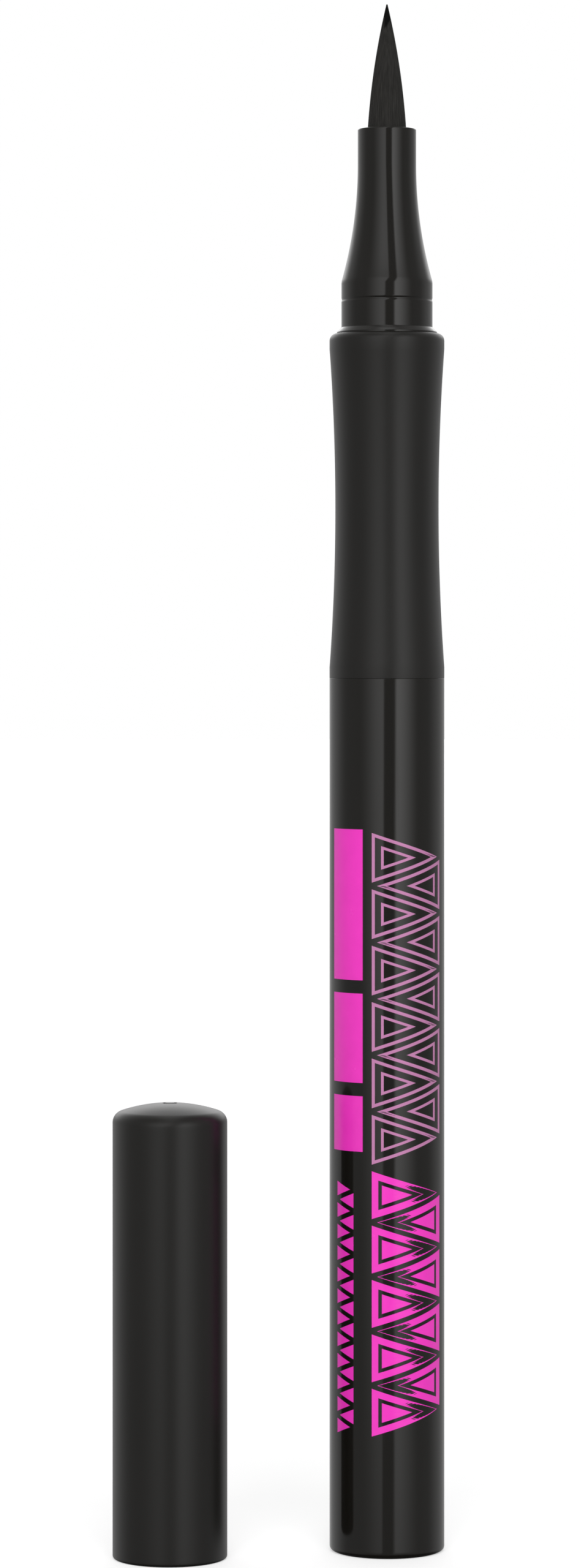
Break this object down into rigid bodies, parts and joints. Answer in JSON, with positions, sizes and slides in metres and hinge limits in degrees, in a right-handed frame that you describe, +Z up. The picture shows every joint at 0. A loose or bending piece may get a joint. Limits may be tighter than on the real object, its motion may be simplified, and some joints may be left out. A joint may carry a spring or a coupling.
{
  "type": "liquid eyeliner pen",
  "caption": "Slim upright eyeliner pen with a glossy barrel and nose, a waisted matt grip and a brush nib; its push-on cap stands beside it.",
  "frame": {"origin": "centre of the pen's flat base, on the pen's axis, at the height of the surface that it stands on", "axes": "+Z up the pen's axis from the base to the nib; the picture looks along +Y with +X to its right, and the cap stands on the -X side"},
  "size_m": [0.0276, 0.0133, 0.1293],
  "materials": {
    "gloss_black": "polished",
    "matt_black": "fine satin",
    "plug_black": "as moulded",
    "natural_plastic": "milky, as moulded",
    "seal_rubber": "matt",
    "wick_fibre": "bonded fibre, soaked black",
    "nib_fibre": "fine black filaments",
    "ball_steel": "polished"
  },
  "bodies": {
    "pen": {"barrel": "gloss_black", "tail_plug": "plug_black", "grip_section": "matt_black", "sealing_ring": "seal_rubber", "tank_seal": "seal_rubber", "collector": "natural_plastic", "relay_wick": "wick_fibre", "nib_seat": "natural_plastic", "nose_cone": "gloss_black", "brush_nib": "nib_fibre"},
    "ball": {"mixing_ball": "ball_steel"},
    "cap": {"cap_shell": "matt_black", "inner_cap": "natural_plastic"}
  },
  "joints": [
    {"name": "cap_lift", "type": "slide", "parent": "pen", "child": "cap", "axis": [0, 0, 1], "range_m": [0, 0.131]},
    {"name": "ball_travel", "type": "slide", "parent": "pen", "child": "ball", "axis": [0, 0, 1], "range_m": [0, 0.0562]}
  ]
}
